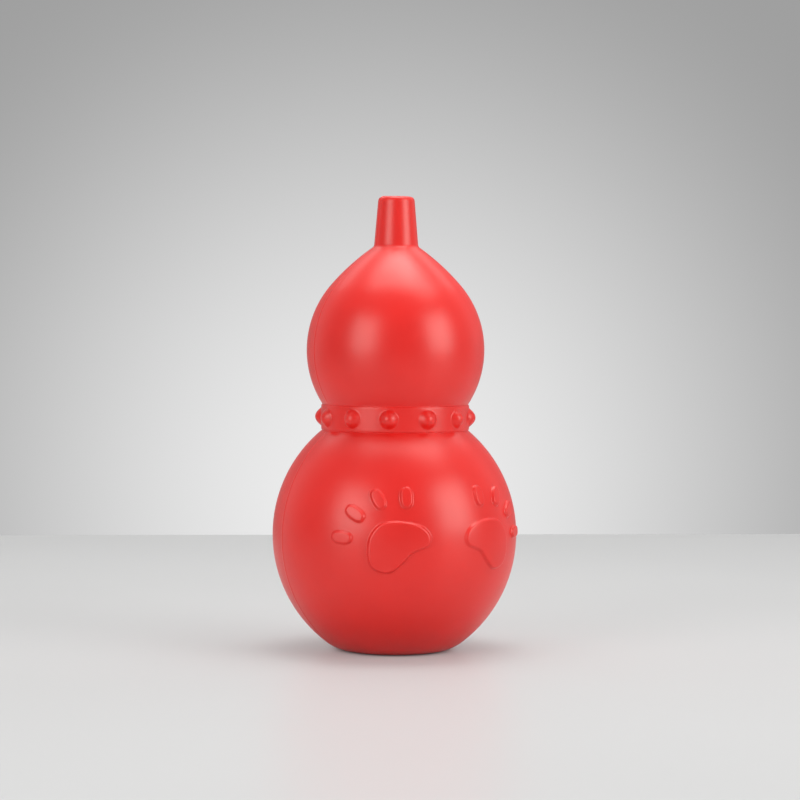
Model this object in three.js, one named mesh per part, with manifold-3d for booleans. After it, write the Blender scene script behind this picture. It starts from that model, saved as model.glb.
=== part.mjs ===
// Gourd-shaped squeaky dog toy: two moulded rubber halves bonded round a squeaker insert.
// Millimetres, +Z up. The origin is the centre of the flat base, and the front faces -Y.
import * as THREE from 'three';
import { mergeVertices } from 'three/addons/utils/BufferGeometryUtils.js';
import Module from 'manifold-3d';

const wasm = await Module();
wasm.setup();

// Rubber body
const BASE_RADIUS = 16.4; // where the lower globe meets the plane it stands on
const BASE_EDGE = 11; // rounding round the flat base
const LOWER_RADIUS = 35.3; // lower globe at its widest
const LOWER_ARC_OFFSET = 3.8; // how far past the axis the lower globe's arc is centred
const UPPER_RADIUS = 25.7; // upper globe at its widest
const UPPER_ARC_OFFSET = 3.1; // how far past the axis the upper globe's arc is centred
const SHOULDER_ANGLE = 40.7; // of the upper globe's arc where the shoulder starts, in degrees
const SHOULDER_RADIUS = 65; // flatter arc from there to the stem
const STEM_FOOT_RADIUS = 6.4;
const STEM_TIP_RADIUS = 5.3;
const STEM_HEIGHT = 14.4;
const STEM_EDGE = 1.35; // rounding of the stem's tip
const WALL = 4; // rubber thickness
const HOLLOW_TIP_RADIUS = 3; // flat top of the hollow, under the stem
const BOND_LINE = 0.1; // cement between the two halves
const ROOT_SHARE = 0.7; // how deep in the wall a raised print is rooted

// Studded collar at the waist
const WAIST_DEPTH = 4.7; // how far the waist lies inside the upper globe
const COLLAR_HEIGHT = 7.25;
const COLLAR_STEP = 0.4; // how far the collar stands out of the waist
const STUD_COUNT = 12;
const STUD_RADIUS = 3;
const STUD_HEIGHT = 1.9;

// Raised paw prints, two on each half
const RELIEF = 0.8;
const PAW_SPREAD = 24.6; // turn of a paw from the middle of its half, in degrees
const PAW_DROP = 2.7; // paw centre below the widest ring
const PAW_LEAN = 31.9; // outward lean of the toes, in degrees
const TOE_COUNT = 4;
const TOE_STEP = 28.2; // turn from toe to toe, in degrees
const TOE_REACH = 16; // toe centre from the paw centre
const TOE_TWIST = 11; // how much further out each toe points, in degrees
const TOE_WIDTH = 3.3;
const TOE_LENGTH = 5.9;
const TOE_SQUARENESS = 2.5; // 2 is an ellipse, more is squarer
const PAD_TENSION = 0.5; // of the pad's outline through its points
const PAD_OUTLINE = [
  // Smooth closed outline about the paw centre: inwards to the front's middle, then towards the toes
  [10.9, -0.6],
  [9.9, 3.2],
  [5.6, 7.3],
  [0.6, 9.3],
  [-4, 7.6],
  [-7.2, 3],
  [-7.3, -0.6],
  [-4.2, -3.5],
  [0, -3.2],
  [4.2, -2.2],
  [9, -2.9],
];

// Squeaker insert
const CLEARANCE = 0.3; // between seated pieces
const HOUSING_RADIUS = 7.5;
const HOUSING_WALL = 1.5;
const HOUSING_FLOOR = 2;
const FLANGE_OVERLAP = 2.5; // flange past the cup
const FLANGE_THICKNESS = 1.5;
const FLANGE_INSET = 0.5; // flange above the plane that the toy stands on
const LIP_HEIGHT = 3.7; // rubber gripped between flange and barb
const BARB_OVERLAP = 1.5; // barb past the lip's bore
const BARB_HEIGHT = 3;
const CHANNEL_RADIUS = 1.5; // sound channel, and the hole it leaves by
const PLUG_HEIGHT = 2.5;
const SHALLOT_RADIUS = 3.2; // half-round trough that the reed beats on
const SHALLOT_HEIGHT = 11.5;
const FACE_OFFSET = 0.4; // trough's flat face in front of the axis
const CHANNEL_END_WALL = 1.5;
const REED_WIDTH = 4.4;
const REED_THICKNESS = 0.25;
const REED_LIFT = 2.5; // tongue's rest angle off the face, in degrees
const REED_OVERRUN = 0.8; // tip past the end of the channel
const CLIP_WALL = 1.1;
const CLIP_HEIGHT = 2.5;
const HEADROOM = 1.5; // between the trough's end and the cap
const CAP_THICKNESS = 1.5;
const SPIGOT_DEPTH = 2.2;
const SPIGOT_WALL = 1.2;
const VENT_COUNT = 6;
const VENT_RADIUS = 0.9;
const VENT_CIRCLE = 2.8; // radius of the ring of vents

// Facets
const BODY_SEGMENTS = 48;
const SMALL_SEGMENTS = 24;
const HOLLOW_SEGMENTS = 32;
const BORE_SEGMENTS = 16;
const GLOBE_STEPS = 14;
const HOLLOW_STEPS = 7;
const SHOULDER_STEPS = 4;
const BASE_STEPS = 5;
const EDGE_STEPS = 3;
const STUD_STEPS = 4;
const PAD_STEPS = 3;
const TOE_SEGMENTS = 16;
const VENT_SEGMENTS = 6;
const MERGE_DISTANCE = 1e-4; // corners closer than this are one corner

const rad = THREE.MathUtils.degToRad;

// Heights and radii that follow from the driving dimensions
const waistRadius = UPPER_RADIUS - WAIST_DEPTH;
const collarRadius = waistRadius + COLLAR_STEP;
const lowerArc = LOWER_RADIUS + LOWER_ARC_OFFSET;
const upperArc = UPPER_RADIUS + UPPER_ARC_OFFSET;
const lowerCentre = point(-LOWER_ARC_OFFSET, rise(lowerArc, BASE_RADIUS + LOWER_ARC_OFFSET));
const collarBottom = lowerCentre.y + rise(lowerArc, waistRadius + LOWER_ARC_OFFSET);
const collarTop = collarBottom + COLLAR_HEIGHT;
const upperRise = rise(upperArc, waistRadius + UPPER_ARC_OFFSET);
const upperCentre = point(-UPPER_ARC_OFFSET, collarTop + upperRise);
const shoulderCentre = pointAt(upperCentre, upperArc - SHOULDER_RADIUS, rad(SHOULDER_ANGLE));
const stemTop = shoulderHeight(0, STEM_FOOT_RADIUS) + STEM_HEIGHT;
const flangeRadius = HOUSING_RADIUS + FLANGE_OVERLAP;
const lipBottom = FLANGE_INSET + FLANGE_THICKNESS + CLEARANCE;
const lipTop = lipBottom + LIP_HEIGHT;
const lipBore = HOUSING_RADIUS + CLEARANCE;
const chamberRadius = HOUSING_RADIUS - HOUSING_WALL;
const clipBore = SHALLOT_RADIUS + CLEARANCE;
const reedBack = FACE_OFFSET + CLEARANCE;
const plugSeat = HOUSING_FLOOR + CLEARANCE;
const clipSeat = plugSeat + PLUG_HEIGHT + CLEARANCE;
const shallotTop = plugSeat + PLUG_HEIGHT + SHALLOT_HEIGHT;
const channelTop = shallotTop - CHANNEL_END_WALL;
const housingTop = shallotTop + HEADROOM;

// Height of an arc's point over its centre, at a distance from the centre's upright
function rise(radius, across) {
  return Math.sqrt(radius ** 2 - across ** 2);
}

function point(x, y) {
  return new THREE.Vector2(x, y);
}

function pointAt(centre, radius, angle) {
  return point(centre.x + radius * Math.cos(angle), centre.y + radius * Math.sin(angle));
}

// Points along an arc from one angle to another, both in radians
function arc(centre, radius, from, to, steps) {
  const curve = new THREE.EllipseCurve(centre.x, centre.y, radius, radius, from, to, to < from);
  return curve.getPoints(steps);
}

// Angle at which an arc reaches a distance from the axis, above or below its centre
function angleAt(centre, radius, distance, side) {
  return side * Math.acos((distance - centre.x) / radius);
}

// Solid of a closed geometry, with shared vertices merged
function solid(geometry) {
  const bare = geometry.clone();
  bare.deleteAttribute('normal');
  bare.deleteAttribute('uv');
  const merged = mergeVertices(bare, MERGE_DISTANCE);
  const corners = merged.index.array;
  const triangles = [];
  for (let i = 0; i < corners.length; i += 3) {
    const [a, b, c] = corners.slice(i, i + 3);
    if (a !== b && b !== c && c !== a) triangles.push(a, b, c);
  }
  const vertProperties = Float32Array.from(merged.attributes.position.array);
  const triVerts = Uint32Array.from(triangles);
  return new wasm.Manifold(new wasm.Mesh({ numProp: 3, vertProperties, triVerts }));
}

function geometryOf(shape) {
  const mesh = shape.getMesh();
  const geometry = new THREE.BufferGeometry();
  geometry.setAttribute('position', new THREE.BufferAttribute(Float32Array.from(mesh.vertProperties), 3));
  geometry.setIndex(new THREE.BufferAttribute(Uint32Array.from(mesh.triVerts), 1));
  geometry.computeVertexNormals();
  return geometry;
}

// Solid turned about +Z from a profile of (radius, height) points
function turned(profile, segments) {
  const halfStep = Math.PI / segments;
  const lathe = new THREE.LatheGeometry(profile, segments, halfStep);
  return solid(lathe.rotateX(Math.PI / 2));
}

// Solid of a shape in the XY plane, raised along +Z
function raised(shape, depth, curveSegments = BORE_SEGMENTS) {
  return solid(new THREE.ExtrudeGeometry(shape, { depth, curveSegments, bevelEnabled: false }));
}

function disc(radius) {
  return new THREE.Shape().absarc(0, 0, radius, 0, 2 * Math.PI);
}

// Round bore or boss on the Z axis between two heights
function cylinder(radius, bottom, top, segments = SMALL_SEGMENTS) {
  return turned([point(0, bottom), point(radius, bottom), point(radius, top), point(0, top)], segments);
}

function unionOf(shapes) {
  return shapes.reduce((whole, shape) => whole.add(shape));
}

// Profile of the lower globe, grown by an amount, from its foot to the collar
function lowerGlobeArc(growth, steps) {
  const radius = lowerArc + growth;
  const top = angleAt(lowerCentre, radius, waistRadius, 1);
  const edgeCentre = point(
    rise(lowerArc - BASE_EDGE, lowerCentre.y - BASE_EDGE) - LOWER_ARC_OFFSET,
    BASE_EDGE,
  );
  const foot = Math.atan2(edgeCentre.y - lowerCentre.y, edgeCentre.x - lowerCentre.x);
  const edge = arc(edgeCentre, BASE_EDGE + growth, -Math.PI / 2, foot, BASE_STEPS);
  return [...edge, ...arc(lowerCentre, radius, foot, top, steps).slice(1)];
}

// Profile of the shoulder, grown by an amount, from the upper globe up to a distance from the axis
function shoulderArc(growth, distance) {
  const radius = SHOULDER_RADIUS + growth;
  const end = angleAt(shoulderCentre, radius, distance, 1);
  return arc(shoulderCentre, radius, rad(SHOULDER_ANGLE), end, SHOULDER_STEPS);
}

// Height at which the shoulder reaches a distance from the axis
function shoulderHeight(growth, distance) {
  return shoulderCentre.y + rise(SHOULDER_RADIUS + growth, distance - shoulderCentre.x);
}

function bodyProfile() {
  const collar = [
    point(collarRadius, collarBottom),
    point(collarRadius, collarTop),
    point(waistRadius, collarTop),
  ];
  const bottom = angleAt(upperCentre, upperArc, waistRadius, -1);
  const globe = arc(upperCentre, upperArc, bottom, rad(SHOULDER_ANGLE), GLOBE_STEPS);
  const tipCentre = point(STEM_TIP_RADIUS - STEM_EDGE, stemTop - STEM_EDGE);
  const tip = arc(tipCentre, STEM_EDGE, 0, Math.PI / 2, EDGE_STEPS);
  const globes = [...lowerGlobeArc(0, GLOBE_STEPS), ...collar, ...globe.slice(1)];
  const shoulder = shoulderArc(0, STEM_FOOT_RADIUS).slice(1);
  return [point(0, 0), ...globes, ...shoulder, ...tip, point(0, stemTop)];
}

// Hollow inside the rubber, with the stepped opening for the squeaker in the base
function hollowProfile() {
  const recess = flangeRadius + CLEARANCE;
  const lower = lowerArc - WALL;
  const upper = upperArc - WALL;
  const neck = waistRadius - WALL;
  const floorAngle = -Math.asin((lowerCentre.y - lipTop) / lower);
  const opening = [
    point(0, -WALL),
    point(recess, -WALL),
    point(recess, lipBottom),
    point(lipBore, lipBottom),
    point(lipBore, lipTop),
  ];
  const lowerRoom = arc(lowerCentre, lower, floorAngle, angleAt(lowerCentre, lower, neck, 1), HOLLOW_STEPS);
  const upperStart = angleAt(upperCentre, upper, neck, -1);
  const upperRoom = arc(upperCentre, upper, upperStart, rad(SHOULDER_ANGLE), HOLLOW_STEPS);
  const roof = shoulderArc(-WALL, HOLLOW_TIP_RADIUS).slice(1);
  const tip = point(0, shoulderHeight(-WALL, HOLLOW_TIP_RADIUS));
  return [...opening, ...lowerRoom, ...upperRoom, ...roof, tip];
}

// One domed stud on the collar, at a turn from the front
function stud(turn) {
  const dome = [];
  for (let i = 0; i <= STUD_STEPS; i += 1) {
    const share = 1 - i / STUD_STEPS;
    dome.push(point(STUD_RADIUS * share, STUD_HEIGHT * (1 - share ** 2)));
  }
  const root = [point(0, -STUD_HEIGHT), point(STUD_RADIUS, -STUD_HEIGHT)];
  const lathe = new THREE.LatheGeometry([...root, ...dome], BORE_SEGMENTS);
  lathe.rotateX(Math.PI);
  lathe.translate(0, -collarRadius, (collarBottom + collarTop) / 2);
  return solid(lathe.rotateZ(turn));
}

// Pad outline for one side: -1 to the left of the front and 1 to the right
function padShape(side) {
  const corners = PAD_OUTLINE.map(([inward, up]) => new THREE.Vector3(-side * inward, up, 0));
  const outline = new THREE.CatmullRomCurve3(corners, true, 'catmullrom', PAD_TENSION);
  const points = outline.getPoints(PAD_STEPS * corners.length).slice(1);
  return new THREE.Shape(points.map(({ x, y }) => point(x, y)));
}

// Oval between an ellipse and a rectangle
function toeShape() {
  const points = [];
  for (let i = 0; i < TOE_SEGMENTS; i += 1) {
    const angle = (2 * Math.PI * i) / TOE_SEGMENTS;
    const across = Math.abs(Math.cos(angle)) ** (2 / TOE_SQUARENESS) * Math.sign(Math.cos(angle));
    const along = Math.abs(Math.sin(angle)) ** (2 / TOE_SQUARENESS) * Math.sign(Math.sin(angle));
    points.push(point((across * TOE_WIDTH) / 2, (along * TOE_LENGTH) / 2));
  }
  return new THREE.Shape(points);
}

// Prism of an outline that stands square on the lower globe. The outline's centre lies at
// (across, up) from the paw's centre, and the outline is turned by an angle.
function standing(shape, pawTurn, across, up, angle) {
  const latitude = (up - PAW_DROP) / lowerArc;
  const level = lowerCentre.x + lowerArc * Math.cos(latitude);
  const turn = pawTurn + across / level;
  const outward = new THREE.Vector3(
    Math.cos(latitude) * Math.sin(turn),
    -Math.cos(latitude) * Math.cos(turn),
    Math.sin(latitude),
  );
  const right = new THREE.Vector3(Math.cos(turn), Math.sin(turn), 0);
  const upward = new THREE.Vector3().crossVectors(outward, right);
  const height = lowerCentre.y + lowerArc * Math.sin(latitude);
  const place = new THREE.Matrix4().makeBasis(right, upward, outward);
  place.setPosition(level * Math.sin(turn), -level * Math.cos(turn), height);
  const root = WALL * ROOT_SHARE;
  const prism = new THREE.ExtrudeGeometry(shape, { depth: root + 2 * RELIEF, bevelEnabled: false });
  prism.translate(0, 0, -root);
  prism.rotateZ(angle);
  return solid(prism.applyMatrix4(place));
}

// One paw print: side is -1 to the left of the front and 1 to the right
function paw(side) {
  const pawTurn = side * rad(PAW_SPREAD);
  const lean = -side * rad(PAW_LEAN);
  const twist = -side * rad(TOE_TWIST);
  const prints = [standing(padShape(side), pawTurn, 0, 0, lean)];
  for (let i = 0; i < TOE_COUNT; i += 1) {
    const angle = lean + rad(TOE_STEP) * (i - (TOE_COUNT - 1) / 2);
    const across = -TOE_REACH * Math.sin(angle);
    const up = TOE_REACH * Math.cos(angle);
    prints.push(standing(toeShape(), pawTurn, across, up, angle + twist));
  }
  const profile = lowerGlobeArc(RELIEF, GLOBE_STEPS);
  const skin = turned([point(0, -RELIEF), ...profile, point(0, collarBottom)], BODY_SEGMENTS);
  return unionOf(prints).intersect(skin);
}

// Front half of the rubber body, up to the bond line
function halfShell() {
  const studs = [];
  for (let i = 0; i < STUD_COUNT; i += 1) {
    studs.push(stud((2 * Math.PI * i) / STUD_COUNT));
  }
  const outside = turned(bodyProfile(), BODY_SEGMENTS);
  const whole = unionOf([outside, ...studs, paw(-1), paw(1)]);
  const hollowed = whole.subtract(turned(hollowProfile(), HOLLOW_SEGMENTS));
  const reach = 2 * (stemTop + LOWER_RADIUS);
  const front = new THREE.BoxGeometry(reach, reach, reach);
  front.translate(0, -(reach + BOND_LINE) / 2, 0);
  return geometryOf(hollowed.intersect(solid(front)));
}

// Flanged cup, from its face upwards
function squeakerHousing() {
  const barbBottom = lipTop + CLEARANCE - FLANGE_INSET;
  const profile = [
    point(0, 0),
    point(flangeRadius, 0),
    point(flangeRadius, FLANGE_THICKNESS),
    point(HOUSING_RADIUS, FLANGE_THICKNESS),
    point(HOUSING_RADIUS, barbBottom),
    point(lipBore + BARB_OVERLAP, barbBottom),
    point(HOUSING_RADIUS, barbBottom + BARB_HEIGHT),
    point(HOUSING_RADIUS, housingTop),
    point(chamberRadius, housingTop),
    point(chamberRadius, HOUSING_FLOOR),
    point(0, HOUSING_FLOOR),
  ];
  const cup = turned(profile, SMALL_SEGMENTS);
  const hole = cylinder(CHANNEL_RADIUS, -HOUSING_FLOOR, 2 * HOUSING_FLOOR, BORE_SEGMENTS);
  return geometryOf(cup.subtract(hole));
}

// Round plug that carries the half-round trough, cut flat towards the reed
function reedBlock() {
  const plug = cylinder(chamberRadius - CLEARANCE, 0, PLUG_HEIGHT);
  const top = PLUG_HEIGHT + SHALLOT_HEIGHT;
  const trough = new THREE.Shape();
  const faceAngle = Math.asin(FACE_OFFSET / SHALLOT_RADIUS);
  trough.absarc(0, 0, SHALLOT_RADIUS, -faceAngle, Math.PI + faceAngle);
  const post = raised(trough, top);
  const channel = cylinder(CHANNEL_RADIUS, -PLUG_HEIGHT, top - CHANNEL_END_WALL, BORE_SEGMENTS);
  return geometryOf(plug.add(post).subtract(channel));
}

// Bent brass strip: its root stands in the clip, and its tongue leans off the trough
function squeakerReed() {
  const length = channelTop + REED_OVERRUN - clipSeat - CLIP_HEIGHT;
  const tipOut = length * Math.sin(rad(REED_LIFT));
  const tipUp = length * Math.cos(rad(REED_LIFT));
  const side = new THREE.Shape();
  side.moveTo(0, -CLIP_HEIGHT);
  side.lineTo(0, 0);
  side.lineTo(-tipOut, tipUp);
  side.lineTo(-tipOut - REED_THICKNESS, tipUp);
  side.lineTo(-REED_THICKNESS, 0);
  side.lineTo(-REED_THICKNESS, -CLIP_HEIGHT);
  const strip = new THREE.ExtrudeGeometry(side, { depth: REED_WIDTH, bevelEnabled: false });
  strip.translate(0, 0, -REED_WIDTH / 2);
  strip.rotateX(Math.PI / 2);
  return geometryOf(solid(strip.rotateZ(Math.PI / 2)));
}

// Ring round the trough and the root of the reed
function reedClip() {
  const flat = reedBack + REED_THICKNESS + CLEARANCE;
  const ring = disc(clipBore + CLIP_WALL);
  const flatAngle = Math.asin(flat / clipBore);
  ring.holes.push(new THREE.Path().absarc(0, 0, clipBore, -flatAngle, Math.PI + flatAngle));
  return geometryOf(raised(ring, CLIP_HEIGHT));
}

// Perforated disc with a spigot that drops into the cup
function squeakerCap() {
  const spigot = chamberRadius - CLEARANCE;
  const profile = [
    point(0, 0),
    point(spigot - SPIGOT_WALL, 0),
    point(spigot - SPIGOT_WALL, -SPIGOT_DEPTH),
    point(spigot, -SPIGOT_DEPTH),
    point(spigot, 0),
    point(HOUSING_RADIUS, 0),
    point(HOUSING_RADIUS, CAP_THICKNESS),
    point(0, CAP_THICKNESS),
  ];
  let cap = turned(profile, SMALL_SEGMENTS);
  for (let i = 0; i < VENT_COUNT; i += 1) {
    const turn = (2 * Math.PI * i) / VENT_COUNT;
    const vent = new THREE.Shape();
    vent.absarc(VENT_CIRCLE * Math.cos(turn), VENT_CIRCLE * Math.sin(turn), VENT_RADIUS, 0, 2 * Math.PI);
    const hole = raised(vent, 3 * CAP_THICKNESS, VENT_SEGMENTS);
    cap = cap.subtract(hole.translate(0, 0, -CAP_THICKNESS));
  }
  return geometryOf(cap);
}

function piece(name, geometry, material, height = 0) {
  const mesh = new THREE.Mesh(geometry, material);
  mesh.name = name;
  mesh.position.z = height;
  return mesh;
}

const rubber = new THREE.MeshStandardMaterial({ color: 0xe13a34, roughness: 0.42, metalness: 0 });
const plastic = new THREE.MeshStandardMaterial({ color: 0xe9e6dd, roughness: 0.45, metalness: 0 });
const brass = new THREE.MeshStandardMaterial({ color: 0xc9a24a, roughness: 0.3, metalness: 1 });

const half = halfShell();
const backShell = piece('back_shell', half, rubber);
backShell.rotation.z = Math.PI;

const reed = piece('squeaker_reed', squeakerReed(), brass, clipSeat + CLIP_HEIGHT);
reed.position.y = -reedBack;

const squeaker = new THREE.Group();
squeaker.position.z = FLANGE_INSET;
squeaker.add(
  piece('squeaker_housing', squeakerHousing(), plastic),
  piece('reed_block', reedBlock(), plastic, plugSeat),
  piece('reed_clip', reedClip(), plastic, clipSeat),
  piece('squeaker_cap', squeakerCap(), plastic, housingTop + CLEARANCE),
  reed,
);

const toy = new THREE.Group();
toy.add(piece('front_shell', half, rubber), backShell, squeaker);

export default toy;
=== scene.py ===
"""Looks of the gourd-shaped rubber dog toy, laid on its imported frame.

Shapes are worked out in millimetres, and become metres when a mesh is made.
"""

import math

import bpy
import numpy as np
from mathutils import Matrix, Vector


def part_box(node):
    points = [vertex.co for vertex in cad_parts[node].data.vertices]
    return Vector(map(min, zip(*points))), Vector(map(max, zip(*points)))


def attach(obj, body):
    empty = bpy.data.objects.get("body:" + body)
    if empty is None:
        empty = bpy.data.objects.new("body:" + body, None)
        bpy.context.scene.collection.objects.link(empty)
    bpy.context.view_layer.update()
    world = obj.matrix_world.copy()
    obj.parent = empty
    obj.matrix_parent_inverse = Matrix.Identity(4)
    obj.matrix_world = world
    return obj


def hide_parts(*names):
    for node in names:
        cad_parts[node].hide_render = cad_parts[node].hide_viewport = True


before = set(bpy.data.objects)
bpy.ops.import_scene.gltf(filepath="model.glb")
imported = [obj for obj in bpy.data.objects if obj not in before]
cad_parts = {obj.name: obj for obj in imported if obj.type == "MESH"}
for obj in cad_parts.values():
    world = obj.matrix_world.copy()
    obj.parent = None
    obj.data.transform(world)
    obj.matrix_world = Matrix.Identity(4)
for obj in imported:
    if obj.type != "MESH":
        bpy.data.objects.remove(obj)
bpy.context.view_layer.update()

MM = 0.001
QUARTER_TURN = math.pi / 2
TINY = 1e-9  # keeps a power or a division away from zero

# Rubber body, as its solids have it
BASE_RADIUS = 16.4
BASE_EDGE = 11.0
LOWER_RADIUS = 35.3
LOWER_ARC_OFFSET = 3.8
UPPER_RADIUS = 25.7
UPPER_ARC_OFFSET = 3.1
SHOULDER_ANGLE = math.radians(40.7)
SHOULDER_RADIUS = 65.0
STEM_FOOT_RADIUS = 6.4
STEM_TIP_RADIUS = 5.3
STEM_HEIGHT = 14.4
STEM_EDGE = 1.35
WALL = 4.0
HOLLOW_TIP_RADIUS = 3.0

# Studded collar
WAIST_DEPTH = 4.7
COLLAR_HEIGHT = 7.25
COLLAR_STEP = 0.4
STUD_COUNT = 12
STUD_RADIUS = 2.7  # of the dome, without the fillet round its foot
STUD_HEIGHT = 1.9
STUD_FILLET = 0.2

# Paw prints
RELIEF = 0.8
RELIEF_FOOT = 0.2  # how much of a print's rounded edge lies outside its outline
PAD_EDGE = 0.95  # width of the pad's rounded edge
TOE_EDGE = 0.65  # width of a toe's rounded edge
EDGE_CRISPNESS = 0.6  # below 1, the edge is steeper at its foot than at its top
PAW_SPREAD = math.radians(24.6)
PAW_DROP = 2.7
PAW_LEAN = math.radians(31.9)
TOE_COUNT = 4
TOE_STEP = math.radians(28.2)
TOE_REACH = 16.0
TOE_TWIST = math.radians(11)
TOE_WIDTH = 3.3
TOE_LENGTH = 5.9
TOE_SQUARENESS = 2.5  # 2 is an ellipse, more is squarer
PAD_POINTS = (  # about the paw's centre: inwards to the middle of the front, then towards the toes
    (10.9, -0.6), (9.9, 3.2), (5.6, 7.3), (0.6, 9.3), (-4, 7.6), (-7.2, 3),
    (-7.3, -0.6), (-4.2, -3.5), (0, -3.2), (4.2, -2.2), (9.0, -2.9),
)
PAD_STEPS = 20  # points of the pad's outline from one of these to the next

# Mould parting line
SEAM_HEIGHT = 0.1
SEAM_WIDTH = 0.3
SEAM_GAP = 1.0  # between the end of its ridge and the collar

# Squeaker cup
CLEARANCE = 0.3
HOUSING_RADIUS = 7.5
HOUSING_WALL = 1.5
HOUSING_FLOOR = 2.0
FLANGE_OVERLAP = 2.5
FLANGE_THICKNESS = 1.5
FLANGE_INSET = 0.5
LIP_HEIGHT = 3.7
BARB_OVERLAP = 1.5
BARB_HEIGHT = 3.0
CHANNEL_RADIUS = 1.5

# Rounding of a profile's corners, as the spread of a bell curve
SOFTNESS = 0.14
COLLAR_SOFTNESS = 0.25
STEM_SOFTNESS = 0.4  # at the stem's foot
SOFT_REACH = 2.0  # how far from such a place its own rounding ends
BELL_REACH = 3  # spreads after which the bell curve is cut off

# Mesh density
FINE = 0.02  # step of a profile before its rows are chosen
GRADING = 0.35  # growth of the spacing away from a fine place
GRADING_STEPS = 20000  # steps in which a graded spacing is added up
COARSE_ROWS = 1.2
COARSE_COLUMNS = 0.8
PAW_SPACING = 0.25
PAW_LOW = -12.0  # the paws' zone, along the profile from the widest ring
PAW_HIGH = 17.5
PAW_TURN = math.radians(56)
EDGE_SPACING = 0.1
STUD_SPACING = 0.2
ROUND_SPACING = 0.5  # on the base's rounding, the stem's tip and the opening
SEAM_SPACING = 0.12
INSIDE_SPACING = 5.0
CUP_SPACING = 0.6
CUP_COLUMNS = 96

# Finishes: noise runs between the two colours and the two roughnesses, and is in cells per metre
NOISE_LOW = 0.3  # most of a noise texture's values lie between these
NOISE_HIGH = 0.7
CLOUD_DETAIL = 3
SKIN_DETAIL = 2
RUBBER_COLOURS = (0.69, 0.0100, 0.0070), (0.75, 0.0125, 0.0090)
RUBBER_ROUGHNESS = 0.31, 0.37
RUBBER_SPECULAR = 0.6
RUBBER_TINT = 1.0, 0.98, 0.92, 1.0  # of its reflections
RUBBER_CLOUDS = 55
RUBBER_SKIN = 1400
RUBBER_BUMP = 0.05, 0.2  # strength and depth
PLASTIC_COLOURS = (0.72, 0.70, 0.63), (0.82, 0.80, 0.74)
PLASTIC_ROUGHNESS = 0.38, 0.52
PLASTIC_CLOUDS = 300
PLASTIC_SKIN = 2500
PLASTIC_BUMP = 0.05, 0.1
PLASTIC_DEPTH = 1.0  # how far light goes into it
PLASTIC_DEPTH_COLOUR = 1.0, 0.9, 0.7
PLASTIC_DEPTH_SHARE = 0.15
BRASS_COLOURS = (0.52, 0.31, 0.07), (0.66, 0.43, 0.12)
BRASS_ROUGHNESS = 0.22, 0.4
BRASS_TARNISH = 500
BRASS_MARKS = 4000
BRASS_STRETCH = 1, 1, 0.04  # draws the rolling marks out along the strip
BRASS_BUMP = 0.08, 0.02
FLOOR_COLOURS = (0.57, 0.57, 0.565), (0.59, 0.59, 0.585)
FLOOR_ROUGHNESS = 0.4
FLOOR_SPECULAR = 0.4
FLOOR_CLOUDS = 6
FLOOR_DETAIL = 2

# Camera, from the photograph's frame of 800 by 800
CAMERA_TURN = math.radians(25.3)  # to the left of the toy's front
CAMERA_DISTANCE = 700.0
CAMERA_HEIGHT = 95.3
CAMERA_ROLL = math.radians(0.35)
AIM_HEIGHT = 72.25
AIM_RIGHT = 1.38
LENS = 108.85
SENSOR = 36.0
CLIP_START = 10.0

# Stage, from the toy's axis
FLOOR_HALF_WIDTH = 1500.0
FLOOR_FRONT = 900.0
FLOOR_BACK = 374.0
FLOOR_SKEW = 130.0  # how much further back the floor's right corner lies, and the left one less
BACKDROP_BACK = 900.0
BACKDROP_HALF_WIDTH = 900.0
POOL_RIGHT = -13.0  # middle of the pool of light on the backdrop
POOL_HEIGHT = -24.0
POOL_RADIUS = 424.0
POOL_DARK = 0.35
POOL_BRIGHT = 0.85
GLOW_SEEN = 0.28  # share of the floor, seen by the camera, that is a glow of its own, which also paints light into the toy's shadow
GLOW_MIRRORED = 0.08  # the same in a reflection, or through a clear piece
GLOW_LEVEL = 0.7
PAINTED_SHADOW_RADIUS = 20.0  # the glow fades inside it, which paints a shadow round the toy's base
PAINTED_SHADOW_CORE = 0.65  # share of that radius without any glow, the darkest part of the painted shadow

# Light in the room, as strengths
ROOM_EVEN = 0.35
ROOM_BEHIND = 1.0

# Lamps: degrees from the camera's side and from level, distance, width and height, and watts
LAMPS = {
    "right_softbox": (60, 18, 700, (400, 470), 2.6),
    "left_softbox": (-41, 17, 700, (390, 480), 2.15),
    "top_softbox": (85, 84, 600, (300, 700), 1.9),
    "back_softbox": (155, 79, 600, (320, 220), 0.85),
    "rear_strip": (180, 50, 600, (900, 180), 0.65),
}


def rise(radius, across):
    """Height of an arc's point over its centre, at a distance from the centre's upright."""
    return math.sqrt(radius**2 - across**2)


# Heights and radii that follow from the driving sizes
waist_radius = UPPER_RADIUS - WAIST_DEPTH
collar_radius = waist_radius + COLLAR_STEP
lower_arc = LOWER_RADIUS + LOWER_ARC_OFFSET
upper_arc = UPPER_RADIUS + UPPER_ARC_OFFSET
lower_centre = (-LOWER_ARC_OFFSET, rise(lower_arc, BASE_RADIUS + LOWER_ARC_OFFSET))
collar_bottom = lower_centre[1] + rise(lower_arc, waist_radius + LOWER_ARC_OFFSET)
collar_top = collar_bottom + COLLAR_HEIGHT
collar_middle = (collar_bottom + collar_top) / 2
upper_centre = (-UPPER_ARC_OFFSET, collar_top + rise(upper_arc, waist_radius + UPPER_ARC_OFFSET))
shoulder_centre = (
    upper_centre[0] + (upper_arc - SHOULDER_RADIUS) * math.cos(SHOULDER_ANGLE),
    upper_centre[1] + (upper_arc - SHOULDER_RADIUS) * math.sin(SHOULDER_ANGLE),
)
flange_radius = HOUSING_RADIUS + FLANGE_OVERLAP
recess_radius = flange_radius + CLEARANCE
lip_bottom = FLANGE_INSET + FLANGE_THICKNESS + CLEARANCE
lip_top = lip_bottom + LIP_HEIGHT
lip_bore = HOUSING_RADIUS + CLEARANCE


# Profiles

def line(start, end):
    """Points from one place up to, but not including, another."""
    count = max(2, math.ceil(math.dist(start, end) / FINE))
    return np.linspace(start, end, count, endpoint=False)


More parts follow.
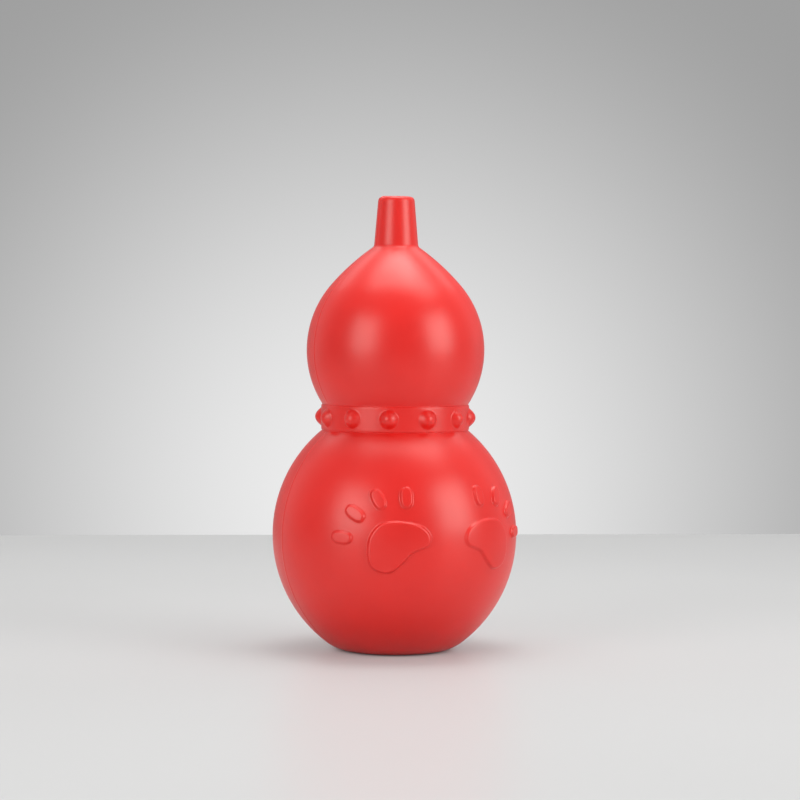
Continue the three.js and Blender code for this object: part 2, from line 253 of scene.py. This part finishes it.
def arc(centre, radius, start, end):
    """Points along an arc, up to but not including its end."""
    count = max(2, math.ceil(abs(end - start) * radius / FINE))
    angles = np.linspace(start, end, count, endpoint=False)
    return np.asarray(centre) + radius * np.column_stack((np.cos(angles), np.sin(angles)))


def lines(corners):
    """Points along straight lines from corner to corner."""
    return np.vstack([line(a, b) for a, b in zip(corners, corners[1:])])


def angle_at(centre, radius, distance, side):
    """Angle at which an arc reaches a distance from the axis, above or below its centre."""
    return side * math.acos((distance - centre[0]) / radius)


def shoulder_height(growth, distance):
    """Height at which the shoulder, grown by an amount, reaches a distance from the axis."""
    return shoulder_centre[1] + rise(SHOULDER_RADIUS + growth, distance - shoulder_centre[0])


def inside_runs():
    """Hollow from its tip on the axis down to the edge of the squeaker's recess."""
    lower = lower_arc - WALL
    upper = upper_arc - WALL
    shoulder = SHOULDER_RADIUS - WALL
    neck = waist_radius - WALL
    neck_low = lower_centre[1] + rise(lower, neck - lower_centre[0])
    neck_high = upper_centre[1] - rise(upper, neck - upper_centre[0])
    tip = shoulder_height(-WALL, HOLLOW_TIP_RADIUS)
    tip_angle = angle_at(shoulder_centre, shoulder, HOLLOW_TIP_RADIUS, 1)
    floor_angle = -math.asin((lower_centre[1] - lip_top) / lower)
    floor_edge = lower_centre[0] + lower * math.cos(floor_angle)
    return {
        "roof": np.vstack((
            line((0, tip), (HOLLOW_TIP_RADIUS, tip)),
            arc(shoulder_centre, shoulder, tip_angle, SHOULDER_ANGLE),
        )),
        "upper_room": arc(upper_centre, upper, SHOULDER_ANGLE, angle_at(upper_centre, upper, neck, -1)),
        "neck": line((neck, neck_high), (neck, neck_low)),
        "lower_room": arc(lower_centre, lower, angle_at(lower_centre, lower, neck, 1), floor_angle),
        "opening": lines([
            (floor_edge, lip_top),
            (lip_bore, lip_top),
            (lip_bore, lip_bottom),
            (recess_radius, lip_bottom),
            (recess_radius, 0),
        ]),
    }


def outside_runs():
    """Outside from the edge of the recess up to the middle of the stem's tip."""
    edge_across = rise(lower_arc - BASE_EDGE, lower_centre[1] - BASE_EDGE) - LOWER_ARC_OFFSET
    foot_angle = math.atan2(BASE_EDGE - lower_centre[1], edge_across - lower_centre[0])
    globe_top = angle_at(lower_centre, lower_arc, waist_radius, 1)
    upper_start = angle_at(upper_centre, upper_arc, waist_radius, -1)
    shoulder_end = angle_at(shoulder_centre, SHOULDER_RADIUS, STEM_FOOT_RADIUS, 1)
    stem_foot = shoulder_height(0, STEM_FOOT_RADIUS)
    stem_top = stem_foot + STEM_HEIGHT
    tip_across = STEM_TIP_RADIUS - STEM_EDGE
    tip_height = stem_top - STEM_EDGE
    return {
        "base": line((recess_radius, 0), (edge_across, 0)),
        "base_edge": arc((edge_across, BASE_EDGE), BASE_EDGE, -QUARTER_TURN, foot_angle),
        "lower_globe": arc(lower_centre, lower_arc, foot_angle, globe_top),
        "collar": lines([
            (waist_radius, collar_bottom),
            (collar_radius, collar_bottom),
            (collar_radius, collar_top),
            (waist_radius, collar_top),
        ]),
        "upper_globe": arc(upper_centre, upper_arc, upper_start, SHOULDER_ANGLE),
        "shoulder": arc(shoulder_centre, SHOULDER_RADIUS, SHOULDER_ANGLE, shoulder_end),
        "stem": line((STEM_FOOT_RADIUS, stem_foot), (STEM_TIP_RADIUS, tip_height)),
        "tip": arc((tip_across, tip_height), STEM_EDGE, 0, QUARTER_TURN),
        "top": np.vstack((line((tip_across, stem_top), (0, stem_top)), [(0, stem_top)])),
    }


def smooth_step(share):
    """Share from 0 to 1 that starts and ends level."""
    share = np.clip(share, 0, 1)
    return share**3 * (share * (6 * share - 15) + 10)


def softened(points, closed, softness=SOFTNESS):
    """Profile with its corners rounded. An open one starts and ends on the axis."""
    reach = math.ceil(BELL_REACH * softness / FINE)
    bell = np.exp(-0.5 * (np.arange(-reach, reach + 1) * FINE / softness) ** 2)
    bell /= bell.sum()
    if closed:
        padded = np.vstack((points[-reach:], points, points[:reach]))
    else:
        mirror = points * (-1, 1)
        padded = np.vstack((mirror[reach:0:-1], points, mirror[-2:-reach - 2:-1]))
    return np.column_stack([np.convolve(padded[:, axis], bell, "valid") for axis in (0, 1)])


def distance_from(span, places):
    """Distance of places from a span, zero inside it."""
    start, end = span
    return np.maximum(np.maximum(start - places, places - end), 0)


def graded(start, end, coarse, features):
    """Places from a start to an end, coarse apart, and closer on features: (from, to, spacing)."""
    places = np.linspace(start, end, GRADING_STEPS + 1)
    spacing = np.full_like(places, coarse)
    for low, high, fine in features:
        spacing = np.minimum(spacing, fine + GRADING * distance_from((low, high), places))
    density = 1 / spacing
    steps = np.concatenate(([0], np.cumsum((density[1:] + density[:-1]) / 2 * np.diff(places))))
    count = math.ceil(steps[-1])
    return np.interp(np.linspace(0, steps[-1], count + 1), steps, places)


def sampled(chosen, places, pairs):
    """Pairs of values at chosen places along a profile."""
    return np.column_stack([np.interp(chosen, places, pairs[:, axis]) for axis in (0, 1)])


def run_spans(runs):
    """Where each run starts and ends along the joined profile."""
    spans = {}
    place = 0
    for name, points in runs.items():
        spans[name] = (place, place + len(points) * FINE)
        place += len(points) * FINE
    return spans


def body_profile(runs, spans):
    """Points of the joined profile, rounded more at the collar and the stem's foot."""
    raw = np.vstack(list(runs.values()))
    places = np.arange(len(raw)) * FINE
    profile = softened(raw, closed=False)
    stem_foot = spans["stem"][0]
    for span, softness in (
        (spans["collar"], COLLAR_SOFTNESS),
        ((stem_foot, stem_foot), STEM_SOFTNESS),
    ):
        near = 1 - smooth_step(distance_from(span, places) / SOFT_REACH)[:, None]
        profile += near * (softened(raw, closed=False, softness=softness) - profile)
    return places, profile


def body_rows():
    """Rows of a half shell, as places, (radius, height) and outward directions, and the runs' spans."""
    runs = {**inside_runs(), **outside_runs()}
    spans = run_spans(runs)
    places, profile = body_profile(runs, spans)
    slope = np.gradient(profile, axis=0)
    outward = np.column_stack((slope[:, 1], -slope[:, 0]))
    outward /= np.linalg.norm(outward, axis=1)[:, None]
    globe = (places > spans["lower_globe"][0]) & (places < spans["lower_globe"][1])
    widest = np.interp(lower_centre[1], profile[globe, 1], places[globe])
    collar_start, collar_end = spans["collar"]
    stem_start = spans["stem"][0]
    features = [
        (widest + PAW_LOW, widest + PAW_HIGH, PAW_SPACING),
        (collar_start, collar_start + COLLAR_STEP, EDGE_SPACING),
        (collar_start, collar_end, STUD_SPACING),
        (collar_end - COLLAR_STEP, collar_end, EDGE_SPACING),
        (stem_start, stem_start, EDGE_SPACING),
        (*spans["tip"], ROUND_SPACING),
        (*spans["base_edge"], ROUND_SPACING),
        (*spans["opening"], ROUND_SPACING),
    ]
    outside_start = spans["base"][0]
    inner = graded(0, outside_start, INSIDE_SPACING, features)
    outer = graded(outside_start, places[-1], COARSE_ROWS, features)
    chosen = np.concatenate((inner[:-1], outer))
    return chosen, sampled(chosen, places, profile), sampled(chosen, places, outward), spans


def column_turns():
    """Turns of a half shell's columns from its middle, closer on prints, studs and the parting line."""
    stud_turn = (STUD_RADIUS + STUD_FILLET) / collar_radius
    stud_turns = np.linspace(-QUARTER_TURN, QUARTER_TURN, STUD_COUNT // 2 + 1)
    return graded(-QUARTER_TURN, QUARTER_TURN, COARSE_COLUMNS / LOWER_RADIUS, [
        (-PAW_TURN, PAW_TURN, PAW_SPACING / LOWER_RADIUS),
        (-QUARTER_TURN, -QUARTER_TURN, SEAM_SPACING / LOWER_RADIUS),
        (QUARTER_TURN, QUARTER_TURN, SEAM_SPACING / LOWER_RADIUS),
        *((at - stud_turn, at + stud_turn, STUD_SPACING / collar_radius) for at in stud_turns),
    ])


# Raised prints, studs and the parting line

def turned(across, along, angle):
    """Plane coordinates seen from axes that are turned by an angle."""
    cosine, sine = math.cos(angle), math.sin(angle)
    return across * cosine + along * sine, along * cosine - across * sine


def pad_outline(side):
    """Closed smooth line through the pad's points, for the left (-1) or right (1) of the front."""
    points = np.array(PAD_POINTS, dtype=float) * (-side, 1)
    share = np.linspace(0, 1, PAD_STEPS, endpoint=False)[:, None]
    pieces = []
    for i in range(len(points)):
        before, here, there, after = (points[(i + k) % len(points)] for k in (-1, 0, 1, 2))
        leave = (there - before) / 2
        arrive = (after - here) / 2
        pieces.append(
            here * (2 * share**3 - 3 * share**2 + 1)
            + leave * (share**3 - 2 * share**2 + share)
            + there * (3 * share**2 - 2 * share**3)
            + arrive * (share**3 - share**2)
        )
    return np.vstack(pieces)


def depth_in_outline(outline, across, along):
    """Distance inside a closed outline, negative outside it."""
    nearest = np.full(across.shape, np.inf)
    inside = np.zeros(across.shape, dtype=bool)
    for (x0, y0), (x1, y1) in zip(outline, np.roll(outline, -1, axis=0)):
        dx, dy = x1 - x0, y1 - y0
        share = np.clip(((across - x0) * dx + (along - y0) * dy) / (dx * dx + dy * dy), 0, 1)
        nearest = np.minimum(nearest, np.hypot(across - x0 - share * dx, along - y0 - share * dy))
        if y0 != y1:
            crosses = (y0 > along) != (y1 > along)
            inside ^= crosses & (across < x0 + (along - y0) * dx / dy)
    return np.where(inside, nearest, -nearest)


def depth_in_toe(across, along):
    """Distance inside a toe's squared oval, negative outside it."""
    x = np.abs(across) / (TOE_WIDTH / 2) + TINY
    y = np.abs(along) / (TOE_LENGTH / 2) + TINY
    size = (x**TOE_SQUARENESS + y**TOE_SQUARENESS) ** (1 / TOE_SQUARENESS)
    slope_x = (x / size) ** (TOE_SQUARENESS - 1) / (TOE_WIDTH / 2)
    slope_y = (y / size) ** (TOE_SQUARENESS - 1) / (TOE_LENGTH / 2)
    return (1 - size) / np.hypot(slope_x, slope_y)


def print_edge(depth, width):
    """Share of a print's full height, at a depth inside its outline."""
    share = np.clip((depth + RELIEF_FOOT) / width, 0, 1)
    return smooth_step(share**EDGE_CRISPNESS)


def paw_relief(turn, up):
    """Height of the prints, at turns from the front and lengths above the globe's widest ring."""
    level = lower_centre[0] + lower_arc * np.cos(up / lower_arc)
    share = np.zeros(np.broadcast(turn, up).shape)
    for side in (-1, 1):
        lean = -side * PAW_LEAN
        across = (turn - side * PAW_SPREAD) * level
        along = np.broadcast_to(up + PAW_DROP, share.shape)
        depth = depth_in_outline(pad_outline(side), *turned(across, along, lean))
        share = np.maximum(share, print_edge(depth, PAD_EDGE))
        for i in range(TOE_COUNT):
            angle = lean + TOE_STEP * (i - (TOE_COUNT - 1) / 2)
            toe_up = TOE_REACH * math.cos(angle)
            toe_level = lower_centre[0] + lower_arc * math.cos((toe_up - PAW_DROP) / lower_arc)
            toe_across = across + TOE_REACH * math.sin(angle) * level / toe_level
            twist = angle - side * TOE_TWIST
            depth = depth_in_toe(*turned(toe_across, along - toe_up, twist))
            share = np.maximum(share, print_edge(depth, TOE_EDGE))
    return RELIEF * share


def stud_relief(turn, height):
    """Height of the domed studs over the collar."""
    pitch = 2 * math.pi / STUD_COUNT
    across = (turn - pitch * np.round(turn / pitch)) * collar_radius
    away = np.hypot(across, height - collar_middle)
    dome = STUD_HEIGHT * (1 - (away / STUD_RADIUS) ** 2)
    return (dome + np.sqrt(dome**2 + STUD_FILLET**2)) / 2


def seam_relief(turn, radius):
    """Height of the thin ridge that the mould leaves along the parting line."""
    away = (QUARTER_TURN - np.abs(turn)) * radius
    return SEAM_HEIGHT * np.exp(-((away / SEAM_WIDTH) ** 2))


def shell_relief(places, rows, spans, turn):
    """Height of all that is raised on a half shell, for its rows and columns."""
    radius, height = rows[:, :1], rows[:, 1:]
    globe_start, globe_end = spans["lower_globe"]
    collar_start, collar_end = spans["collar"]
    lift = np.zeros(np.broadcast(radius, turn).shape)
    globe = (places > globe_start) & (places < globe_end)
    up = lower_arc * np.arctan2(height[globe] - lower_centre[1], radius[globe] - lower_centre[0])
    lift[globe] += paw_relief(turn, up)
    collar = (places > collar_start - COLLAR_STEP) & (places < collar_end + COLLAR_STEP)
    lift[collar] += stud_relief(turn, height[collar])
    ridged = (places > globe_start) & (distance_from(spans["collar"], places) > SEAM_GAP)
    lift[ridged] += seam_relief(turn, radius[ridged])
    lift[[0, -1]] = 0
    return lift


# Meshes

def make_object(name, points, faces, material, smooth_faces=None):
    """Object with a mesh of its own, smooth all over unless told otherwise."""
    mesh = bpy.data.meshes.new(name)
    mesh.from_pydata(points, [], faces)
    smooth = [True] * len(mesh.polygons) if smooth_faces is None else smooth_faces
    mesh.polygons.foreach_set("use_smooth", smooth)
    mesh.materials.append(material)
    mesh.update()
    piece = bpy.data.objects.new(name, mesh)
    bpy.context.scene.collection.objects.link(piece)
    return piece


def grid_faces(rows, columns):
    """Quads of a grid whose corners are numbered row by row."""
    corner = np.arange(rows * columns).reshape(rows, columns)
    quads = np.stack((corner[:-1, :-1], corner[:-1, 1:], corner[1:, 1:], corner[1:, :-1]), axis=-1)
    return quads.reshape(-1, 4).tolist()


def sharpen(mesh, rim):
    """Make the edges between the given corners sharp."""
    on_rim = np.zeros(len(mesh.vertices), dtype=bool)
    on_rim[rim] = True
    ends = np.empty(2 * len(mesh.edges), dtype=np.int32)
    mesh.edges.foreach_get("vertices", ends)
    mesh.edges.foreach_set("use_edge_sharp", on_rim[ends.reshape(-1, 2)].all(axis=1))


def shell_half(name, material):
    """Front half of the rubber body, closed by its bonding face in the plane of the parting line."""
    places, rows, facing, spans = body_rows()
    turn = column_turns()[None, :]
    columns = turn.shape[1]
    lift = shell_relief(places, rows, spans, turn)
    far = rows[:, :1] + lift * facing[:, :1]
    high = rows[:, 1:] + lift * facing[:, 1:]
    points = np.stack((far * np.sin(turn), -far * np.cos(turn), high), axis=-1)
    points[:, [0, -1], 1] = 0
    corners = np.vstack((points[1:-1].reshape(-1, 3), points[0, 0], points[-1, 0])) * MM
    hollow_tip = len(corners) - 2
    stem_tip = len(corners) - 1
    last_row = hollow_tip - columns
    left = range(0, hollow_tip, columns)
    right = range(columns - 1, hollow_tip, columns)
    faces = grid_faces(len(rows) - 2, columns)
    faces += [(hollow_tip, j + 1, j) for j in range(columns - 1)]
    faces += [(last_row + j, last_row + j + 1, stem_tip) for j in range(columns - 1)]
    faces.append([hollow_tip, *left, stem_tip, *reversed(right)])
    smooth = [True] * (len(faces) - 1) + [False]
    piece = make_object(name, corners.tolist(), faces, material, smooth)
    sharpen(piece.data, [*left, *right, hollow_tip, stem_tip])
    return piece


def turned_round(piece, name):
    """Copy of a half, turned half a turn about the axis."""
    mesh = piece.data.copy()
    mesh.name = name
    mesh.transform(Matrix.Rotation(math.pi, 4, "Z"))
    copy = bpy.data.objects.new(name, mesh)
    bpy.context.scene.collection.objects.link(copy)
    return copy


def cup_corners():
    """Closed profile of the flanged cup, with its barb and its sound hole."""
    low, high = (corner.z / MM for corner in map(Vector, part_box("squeaker_housing")))
    chamber = HOUSING_RADIUS - HOUSING_WALL
    barb_bottom = lip_top + CLEARANCE
    floor = low + HOUSING_FLOOR
    return [
        (CHANNEL_RADIUS, low),
        (flange_radius, low),
        (flange_radius, low + FLANGE_THICKNESS),
        (HOUSING_RADIUS, low + FLANGE_THICKNESS),
        (HOUSING_RADIUS, barb_bottom),
        (lip_bore + BARB_OVERLAP, barb_bottom),
        (HOUSING_RADIUS, barb_bottom + BARB_HEIGHT),
        (HOUSING_RADIUS, high),
        (chamber, high),
        (chamber, floor),
        (CHANNEL_RADIUS, floor),
        (CHANNEL_RADIUS, low),
    ]


def squeaker_cup(name, material):
    """Cup turned round the axis, with all its corners rounded."""
    corners = cup_corners()
    profile = softened(lines(corners), closed=True)
    places = np.arange(len(profile)) * FINE
    sides = [math.ceil(math.dist(a, b) / FINE) * FINE for a, b in zip(corners, corners[1:])]
    bends = np.cumsum([0, *sides])
    chosen = graded(0, places[-1], CUP_SPACING, [(bend, bend, EDGE_SPACING) for bend in bends])[:-1]
    rows = sampled(chosen, places, profile)
    turns = np.linspace(0, 2 * math.pi, CUP_COLUMNS, endpoint=False)
    points = np.stack((
        rows[:, :1] * np.sin(turns),
        -rows[:, :1] * np.cos(turns),
        np.repeat(rows[:, 1:], CUP_COLUMNS, axis=1),
    ), axis=-1)
    corner = np.arange(len(rows) * CUP_COLUMNS).reshape(-1, CUP_COLUMNS)
    beside = np.roll(corner, -1, axis=1)
    above = np.roll(corner, -1, axis=0)
    diagonal = np.roll(beside, -1, axis=0)
    faces = np.stack((corner, beside, diagonal, above), axis=-1).reshape(-1, 4).tolist()
    return make_object(name, (points.reshape(-1, 3) * MM).tolist(), faces, material)


# Material nodes

def new_material(name):
    """Material with an empty node tree, and the socket that its surface goes to."""
    material = bpy.data.materials.new(name)
    material.use_nodes = True
    tree = material.node_tree
    tree.nodes.clear()
    output = tree.nodes.new("ShaderNodeOutputMaterial")
    return material, tree, output.inputs["Surface"]


def noise(tree, scale, detail, stretch=(1, 1, 1)):
    """Noise in the object's own space, with a scale in cells per metre."""
    place = tree.nodes.new("ShaderNodeTexCoord")
    mapping = tree.nodes.new("ShaderNodeMapping")
    mapping.inputs["Scale"].default_value = stretch
    texture = tree.nodes.new("ShaderNodeTexNoise")
    texture.inputs["Scale"].default_value = scale
    texture.inputs["Detail"].default_value = detail
    tree.links.new(place.outputs["Object"], mapping.inputs["Vector"])
    tree.links.new(mapping.outputs["Vector"], texture.inputs["Vector"])
    return texture.outputs["Fac"]


def ranged(tree, value, low, high):
    """A noise value spread over a range."""
    node = tree.nodes.new("ShaderNodeMapRange")
    node.inputs["From Min"].default_value = NOISE_LOW
    node.inputs["From Max"].default_value = NOISE_HIGH
    node.inputs["To Min"].default_value = low
    node.inputs["To Max"].default_value = high
    tree.links.new(value, node.inputs["Value"])
    return node.outputs["Result"]


def coloured(tree, shader, colours, scale, detail=CLOUD_DETAIL):
    """Give a shader a cloudy base colour between two colours."""
    first, second = colours
    mix = tree.nodes.new("ShaderNodeMix")
    mix.data_type = "RGBA"
    mix.inputs["A"].default_value = (*first, 1)
    mix.inputs["B"].default_value = (*second, 1)
    tree.links.new(ranged(tree, noise(tree, scale, detail), 0, 1), mix.inputs["Factor"])
    tree.links.new(mix.outputs["Result"], shader.inputs["Base Color"])


def skinned(tree, shader, texture, roughness, bump):
    """Give a shader an uneven roughness, and a bump of some strength and depth in millimetres."""
    strength, depth = bump
    tree.links.new(ranged(tree, texture, *roughness), shader.inputs["Roughness"])
    node = tree.nodes.new("ShaderNodeBump")
    node.inputs["Strength"].default_value = strength
    node.inputs["Distance"].default_value = depth * MM
    tree.links.new(texture, node.inputs["Height"])
    tree.links.new(node.outputs["Normal"], shader.inputs["Normal"])


def combined(tree, operation, first, second):
    """Two node values put together by an operation of the Math node."""
    node = tree.nodes.new("ShaderNodeMath")
    node.operation = operation
    tree.links.new(first, node.inputs[0])
    tree.links.new(second, node.inputs[1])
    return node.outputs["Value"]


def scaled(tree, value, factor):
    """A node value times a plain number."""
    node = tree.nodes.new("ShaderNodeMath")
    node.operation = "MULTIPLY"
    node.inputs[1].default_value = factor
    tree.links.new(value, node.inputs[0])
    return node.outputs["Value"]


def fading(tree, radius, middle, edge, core=0.0):
    """Value that changes smoothly round the object's origin, from a core out to a radius."""
    place = tree.nodes.new("ShaderNodeTexCoord")
    mapping = tree.nodes.new("ShaderNodeMapping")
    mapping.inputs["Scale"].default_value = [1 / (radius * MM)] * 3
    gradient = tree.nodes.new("ShaderNodeTexGradient")
    gradient.gradient_type = "SPHERICAL"
    tree.links.new(place.outputs["Object"], mapping.inputs["Vector"])
    tree.links.new(mapping.outputs["Vector"], gradient.inputs["Vector"])
    ramp = tree.nodes.new("ShaderNodeMapRange")
    ramp.interpolation_type = "SMOOTHSTEP"
    ramp.inputs["From Max"].default_value = 1 - core
    ramp.inputs["To Min"].default_value = edge
    ramp.inputs["To Max"].default_value = middle
    tree.links.new(gradient.outputs["Fac"], ramp.inputs["Value"])
    return ramp.outputs["Result"]


# Materials

def rubber_material():
    """Satin red rubber: slightly cloudy colour and a fine moulded skin."""
    material, tree, surface = new_material("red_rubber")
    shader = tree.nodes.new("ShaderNodeBsdfPrincipled")
    coloured(tree, shader, RUBBER_COLOURS, RUBBER_CLOUDS)
    skinned(tree, shader, noise(tree, RUBBER_SKIN, SKIN_DETAIL), RUBBER_ROUGHNESS, RUBBER_BUMP)
    shader.inputs["Specular IOR Level"].default_value = RUBBER_SPECULAR
    shader.inputs["Specular Tint"].default_value = RUBBER_TINT
    tree.links.new(shader.outputs["BSDF"], surface)
    return material


def plastic_material():
    """Natural white polyethylene with a waxy surface."""
    material, tree, surface = new_material("squeaker_plastic")
    shader = tree.nodes.new("ShaderNodeBsdfPrincipled")
    coloured(tree, shader, PLASTIC_COLOURS, PLASTIC_CLOUDS)
    skinned(tree, shader, noise(tree, PLASTIC_SKIN, SKIN_DETAIL), PLASTIC_ROUGHNESS, PLASTIC_BUMP)
    shader.inputs["Subsurface Weight"].default_value = PLASTIC_DEPTH_SHARE
    shader.inputs["Subsurface Radius"].default_value = PLASTIC_DEPTH_COLOUR
    shader.inputs["Subsurface Scale"].default_value = PLASTIC_DEPTH * MM
    tree.links.new(shader.outputs["BSDF"], surface)
    return material


def brass_material():
    """Rolled brass strip, with the rolling marks along its length."""
    material, tree, surface = new_material("reed_brass")
    shader = tree.nodes.new("ShaderNodeBsdfPrincipled")
    coloured(tree, shader, BRASS_COLOURS, BRASS_TARNISH)
    marks = noise(tree, BRASS_MARKS, SKIN_DETAIL, BRASS_STRETCH)
    skinned(tree, shader, marks, BRASS_ROUGHNESS, BRASS_BUMP)
    shader.inputs["Metallic"].default_value = 1
    tree.links.new(shader.outputs["BSDF"], surface)
    return material


def glow_share(tree):
    """How much of the floor is its own glow, for the kind of ray that shows it, faded out round the toy's
    base as a painted shadow.
    """
    path = tree.nodes.new("ShaderNodeLightPath")
    seen = path.outputs["Is Camera Ray"]
    mirrored = combined(tree, "MAXIMUM", path.outputs["Is Glossy Ray"], path.outputs["Is Transmission Ray"])
    share = combined(tree, "MAXIMUM", scaled(tree, seen, GLOW_SEEN), scaled(tree, mirrored, GLOW_MIRRORED))
    # the fade round the toy's base paints a shadow there
    return combined(tree, "MULTIPLY", share, fading(tree, PAINTED_SHADOW_RADIUS, 0, 1, PAINTED_SHADOW_CORE))


def floor_material():
    """Pale satin table top that glows a little, which lifts the toy's shadow, with a painted shadow round
    the toy's base where the glow fades.
    """
    material, tree, surface = new_material("pale_floor")
    shader = tree.nodes.new("ShaderNodeBsdfPrincipled")
    coloured(tree, shader, FLOOR_COLOURS, FLOOR_CLOUDS, FLOOR_DETAIL)
    shader.inputs["Roughness"].default_value = FLOOR_ROUGHNESS
    shader.inputs["Specular IOR Level"].default_value = FLOOR_SPECULAR
    glow = tree.nodes.new("ShaderNodeEmission")
    glow.inputs["Strength"].default_value = GLOW_LEVEL
    mixed = tree.nodes.new("ShaderNodeMixShader")
    tree.links.new(glow_share(tree), mixed.inputs["Fac"])
    tree.links.new(shader.outputs["BSDF"], mixed.inputs[1])
    tree.links.new(glow.outputs["Emission"], mixed.inputs[2])
    tree.links.new(mixed.outputs["Shader"], surface)
    return material


def backdrop_material():
    """Grey wall with a soft pool of light behind the toy."""
    material, tree, surface = new_material("grey_backdrop")
    glow = tree.nodes.new("ShaderNodeEmission")
    tree.links.new(fading(tree, POOL_RADIUS, POOL_BRIGHT, POOL_DARK), glow.inputs["Strength"])
    tree.links.new(glow.outputs["Emission"], surface)
    return material


# Studio

toward_camera = Vector((-math.sin(CAMERA_TURN), -math.cos(CAMERA_TURN), 0))
camera_right = Vector((math.cos(CAMERA_TURN), -math.sin(CAMERA_TURN), 0))
upward = Vector((0, 0, 1))


def studio_point(right, toward, up):
    """Place in metres from millimetres to the camera's right, towards it, and up from the floor."""
    return (camera_right * right + toward_camera * toward + upward * up) * MM


def aimed(place, target, roll=0.0):
    """Place and turn that point an object's -Z at a target, with its Y upwards."""
    turn = (target - place).to_track_quat("-Z", "Y").to_matrix().to_4x4()
    return Matrix.Translation(place) @ turn @ Matrix.Rotation(roll, 4, "Z")


def add_camera():
    """Camera at the photograph's angle."""
    data = bpy.data.cameras.new("camera")
    data.lens = LENS
    data.sensor_width = SENSOR
    data.clip_start = CLIP_START * MM
    camera = bpy.data.objects.new("camera", data)
    bpy.context.scene.collection.objects.link(camera)
    place = studio_point(0, CAMERA_DISTANCE, CAMERA_HEIGHT)
    camera.matrix_world = aimed(place, studio_point(AIM_RIGHT, 0, AIM_HEIGHT), CAMERA_ROLL)
    bpy.context.scene.camera = camera


def add_softbox(name, azimuth, elevation, distance, size, power):
    """Area lamp that faces the toy, at angles in degrees from the camera's side and from level."""
    data = bpy.data.lights.new(name, "AREA")
    data.shape = "RECTANGLE"
    data.size, data.size_y = (side * MM for side in size)
    data.energy = power
    lamp = bpy.data.objects.new(name, data)
    bpy.context.scene.collection.objects.link(lamp)
    turn, lift = math.radians(azimuth), math.radians(elevation)
    centre = studio_point(0, 0, AIM_HEIGHT)
    offset = studio_point(
        distance * math.sin(turn) * math.cos(lift),
        distance * math.cos(turn) * math.cos(lift),
        distance * math.sin(lift),
    )
    lamp.matrix_world = aimed(centre + offset, centre)


def add_world():
    """White room that is even in front of the toy and brighter behind it."""
    world = bpy.data.worlds.new("studio")
    world.use_nodes = True
    tree = world.node_tree
    direction = tree.nodes.new("ShaderNodeTexCoord")
    facing = tree.nodes.new("ShaderNodeVectorMath")
    facing.operation = "DOT_PRODUCT"
    facing.inputs[1].default_value = -toward_camera
    level = tree.nodes.new("ShaderNodeMapRange")
    level.inputs["To Min"].default_value = ROOM_EVEN
    level.inputs["To Max"].default_value = ROOM_BEHIND
    background = tree.nodes["Background"]
    background.inputs["Color"].default_value = (1, 1, 1, 1)
    tree.links.new(direction.outputs["Generated"], facing.inputs[0])
    tree.links.new(facing.outputs["Value"], level.inputs["Value"])
    tree.links.new(level.outputs["Result"], background.inputs["Strength"])
    bpy.context.scene.world = world


def sheet(name, corners, material):
    """Flat four-sided stage piece."""
    piece = make_object(name, corners, [(0, 1, 2, 3)], material)
    return piece


def add_floor():
    """Floor that ends behind the toy, where the photograph shows its edge."""
    sheet("floor", [
        studio_point(-FLOOR_HALF_WIDTH, FLOOR_FRONT, 0),
        studio_point(FLOOR_HALF_WIDTH, FLOOR_FRONT, 0),
        studio_point(FLOOR_HALF_WIDTH, -FLOOR_BACK - FLOOR_SKEW, 0),
        studio_point(-FLOOR_HALF_WIDTH, -FLOOR_BACK + FLOOR_SKEW, 0),
    ], floor_material())


def add_backdrop():
    """Upright sheet behind the toy, with its origin in the middle of the pool of light."""
    half = BACKDROP_HALF_WIDTH * MM
    corners = [(-half, -half, 0), (half, -half, 0), (half, half, 0), (-half, half, 0)]
    piece = sheet("backdrop", corners, backdrop_material())
    place = studio_point(POOL_RIGHT, -BACKDROP_BACK, POOL_HEIGHT)
    piece.matrix_world = aimed(place, place - toward_camera)


# The toy

rubber = rubber_material()
plastic = plastic_material()
brass = brass_material()

front = shell_half("front_half", rubber)
back = turned_round(front, "back_half")
cup = squeaker_cup("squeaker_cup", plastic)

for piece, node, slot in (
    (front, "front_shell", "rubber"),
    (back, "back_shell", "rubber"),
    (cup, "squeaker_housing", "squeaker_plastic"),
):
    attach(piece, "body")
    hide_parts(node)

for node, material in (
    ("reed_block", plastic),
    ("reed_clip", plastic),
    ("squeaker_cap", plastic),
    ("squeaker_reed", brass),
):
    kept = bpy.data.objects[node]
    kept.data.materials.clear()
    kept.data.materials.append(material)

add_floor()
add_backdrop()
add_camera()
add_world()
for name, lamp in LAMPS.items():
    add_softbox(name, *lamp)
bpy.context.scene.view_settings.view_transform = "Standard"
